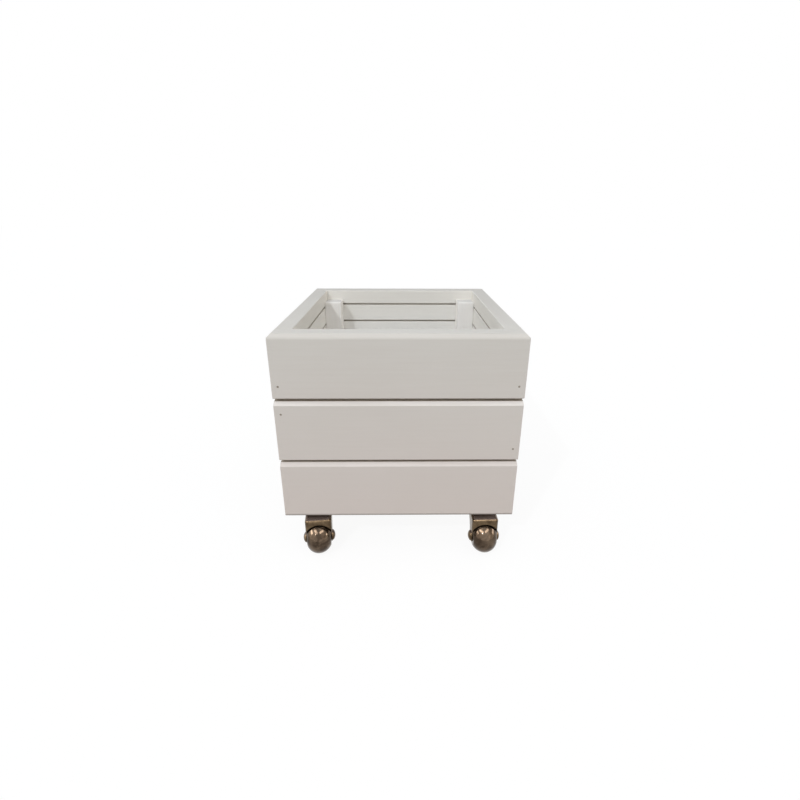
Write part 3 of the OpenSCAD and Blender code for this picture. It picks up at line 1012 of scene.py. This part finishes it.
def tread(corner, finishes):
    """Round-crowned tread moulded over the hub's ribs."""
    half = WHEEL_W / 2
    centre_r = WHEEL_R - TREAD_R
    side = math.degrees(math.asin(half / TREAD_R))
    crown = arc((centre_r, 0), TREAD_R, side, -side, 48)
    inner = hub_outline(BORE_PLAY)[1:-1]
    seat = HUB_R + BORE_PLAY
    outline = [(seat, -half), *inner, (seat, half), *crown]
    bm = turned(outline, closed=True, steps=96)

    def on_outside(edge):
        return min(v.co.to_2d().length for v in edge.verts) > RIB_R + MM

    ease(bm, TREAD_EASE, wanted=on_outside)
    bmesh.ops.transform(bm, matrix=axle_matrix(corner), verts=bm.verts)
    node = f"caster_{corner}_tread"
    return piece(node + "_tyre", bm, finishes["tread"], f"wheel_{corner}", [node])


# ------------------------------------------------------------------ studio

# The camera as fitted to the photograph, with its angles in radians
CAMERA_PLACE = (0.00292, -0.7003, 0.5045)
CAMERA_LENS = 19.407
CAMERA_SHIFT = (-0.00816, -0.0419)
CAMERA_TURN = -0.0134
CAMERA_PITCH = -0.3515
CAMERA_ROLL = 0.0044
CAMERA_SENSOR = 36
CAMERA_CLIP = 0.01

WHITE = (1, 1, 1, 1)
FLOOR_SIZE = 10
# The floor's colour as it lights the planter, and its colour and glow as it is seen
FLOOR_BOUNCE = (0.54, 0.52, 0.5, 1)
FLOOR_SHADE = (0.1, 0.1, 0.1, 1)
FLOOR_GLOW = 0.92

# Each distant lamp: its direction from the planter, strength, width in degrees and tint.
# The key is narrow, and casts the one clear shadow inside the box. The others are soft.
LAMPS = {
    "key": ((-0.41, -0.59, 0.69), 0.68, 1, (0.95, 1, 1.05)),
    "front": ((0, -0.75, 0.66), 1.12, 100, (0.99, 1, 1.02)),
    "overhead": ((0, 0, 1), 0.15, 110, (0.55, 1, 1.5)),
    "back": ((0, 0.93, 0.37), 0.9, 100, (0.92, 1, 1.08)),
    "left": ((-0.8, -0.2, 0.56), 0.74, 80, (1.08, 1, 0.92)),
    "right": ((0.8, -0.2, 0.56), 0.69, 80, (1.14, 1, 0.84)),
}

# Windows round the front, by bearing and rise in degrees. They show only in what is glossy.
WINDOWS = ((-43, 53), (41, 57), (95, 17), (-83, 27))
WINDOW_AWAY = 2
WINDOW_SIZE = (1.3, 0.45)
WINDOW_POWER = 14


def camera():
    data = bpy.data.cameras.new("camera")
    data.lens = CAMERA_LENS
    data.sensor_width = CAMERA_SENSOR
    data.sensor_fit = "HORIZONTAL"
    data.shift_x, data.shift_y = CAMERA_SHIFT
    data.clip_start = CAMERA_CLIP
    obj = bpy.data.objects.new("camera", data)
    bpy.context.scene.collection.objects.link(obj)
    obj.matrix_world = (
        Matrix.Translation(CAMERA_PLACE)
        @ Matrix.Rotation(CAMERA_TURN, 4, "Z")
        @ Matrix.Rotation(math.pi / 2 + CAMERA_PITCH, 4, "X")
        @ Matrix.Rotation(CAMERA_ROLL, 4, "Z")
    )
    bpy.context.scene.camera = obj


def hung(name, data, towards, distance=0):
    """Puts a lamp in a direction from the planter, facing it."""
    obj = bpy.data.objects.new(name, data)
    bpy.context.scene.collection.objects.link(obj)
    obj.location = Vector(towards) * distance
    obj.rotation_euler = (-Vector(towards)).to_track_quat("-Z", "Y").to_euler()
    return obj


def lamp(name, towards, strength, width, tint):
    data = bpy.data.lights.new(name, "SUN")
    data.energy = strength
    data.angle = math.radians(width)
    data.color = tint
    hung(name, data, towards)


def window(bearing, rise):
    data = bpy.data.lights.new("window", "AREA")
    data.shape = "RECTANGLE"
    data.size, data.size_y = WINDOW_SIZE
    data.energy = WINDOW_POWER
    around, rise = math.radians(bearing), math.radians(rise)
    level = math.cos(rise)
    towards = (math.sin(around) * level, -math.cos(around) * level, math.sin(rise))
    hung("window", data, towards, WINDOW_AWAY).visible_diffuse = False


def seen(f):
    """1 for the rays that show a backdrop: straight, mirrored or through something clear."""
    straight, mirrored, through = (
        f.add("ShaderNodeLightPath", output=name)
        for name in ("Is Camera Ray", "Is Glossy Ray", "Is Transmission Ray")
    )
    return (straight + mirrored + through).smaller(1.0)


def surroundings():
    """A white room where it is seen, lit by the lamps alone."""
    world = bpy.data.worlds.new("room")
    bpy.context.scene.world = world
    f = Finish(world)
    f.tree.nodes.clear()
    light = f.add("ShaderNodeBackground", inputs={"Color": WHITE, "Strength": seen(f)})
    f.add("ShaderNodeOutputWorld", inputs={"Surface": light})


def studio_floor():
    """Pale floor that shows white, with the planter's shadow on it."""
    bm = bmesh.new()
    bmesh.ops.create_grid(bm, x_segments=2, y_segments=2, size=FLOOR_SIZE)
    obj = bare_object("studio_floor", bm)
    f = new_finish("pale_floor")
    f.tree.nodes.clear()
    bounce = f.add("ShaderNodeBsdfDiffuse", inputs={"Color": FLOOR_BOUNCE})
    shade = f.add("ShaderNodeBsdfDiffuse", inputs={"Color": FLOOR_SHADE})
    glow = f.add("ShaderNodeEmission", inputs={"Color": WHITE, "Strength": FLOOR_GLOW})
    shown = f.add("ShaderNodeAddShader", inputs={0: shade, 1: glow})
    mixed = f.add("ShaderNodeMixShader", inputs={0: seen(f), 1: bounce, 2: shown})
    f.add("ShaderNodeOutputMaterial", inputs={"Surface": mixed})
    obj.data.materials.append(f.owner)


# ------------------------------------------------------------------ the planter


def make_finishes():
    return {
        "paint_x": painted_wood("paint_along_x", "x"),
        "paint_y": painted_wood("paint_along_y", "y"),
        # The posts, inside the box, take the lightest paint as painted light
        "paint_z": painted_wood("paint_along_z", "z", PAINT_LIT_POSTS, PAINT_LIT_POSTS),
        # Paint of the joint chamfers, lightened as a painted highlight
        "edge_x": painted_wood("paint_on_chamfer_x", "x", outside=PAINT_CHAMFER_HIGHLIGHT),
        "edge_y": painted_wood("paint_on_chamfer_y", "y", outside=PAINT_CHAMFER_HIGHLIGHT),
        "sawn": sawn_groove("sawn_groove"),
        "deal": bare_deal("bare_deal", "y"),
        "bronze": bronzed_steel("bronzed_steel"),
        "steel": bright_steel("bright_steel"),
        "nail": painted_nail("painted_nail"),
        "hub": moulded_hub("moulded_hub"),
        "tread": bronze_urethane("bronze_urethane"),
    }


def repaint(node, finish):
    """Gives a CAD node that stays its own finish."""
    for place in frame["nodes"][node].material_slots:
        place.material = finish


def dress_planter():
    finishes = make_finishes()
    hood = hood_shape()
    for wall in WALLS:
        for course in COURSES:
            wall_board(wall, course, finishes)
    for corner in CORNERS:
        timber(f"post_{corner}", POST_EASE, 3, finishes["paint_z"])
    for side in BEARERS:
        timber(f"bearer_{side}", TIMBER_EASE, 2, finishes["deal"])
    for slat in SLATS:
        timber(f"floor_slat_{slat}", TIMBER_EASE, 2, finishes["paint_x"])
    repaint("wall_nails", finishes["nail"])
    repaint("floor_nails", finishes["nail"])
    repaint("caster_screws", finishes["steel"])
    for corner in CORNERS:
        repaint(f"caster_{corner}_plate", finishes["bronze"])
        repaint(f"caster_{corner}_kingpin", finishes["steel"])
        repaint(f"caster_{corner}_balls", finishes["steel"])
        fork_sheet(corner, hood, finishes)
        race_cup(corner, finishes)
        axle_bosses(corner, finishes)
        axle(corner, finishes)
        hub(corner, finishes)
        tread(corner, finishes)
    hood.free()


bpy.context.scene.view_settings.view_transform = "Standard"
dress_planter()
studio_floor()
surroundings()
for name, setting in LAMPS.items():
    lamp(name, *setting)
for bearing, rise in WINDOWS:
    window(bearing, rise)
camera()
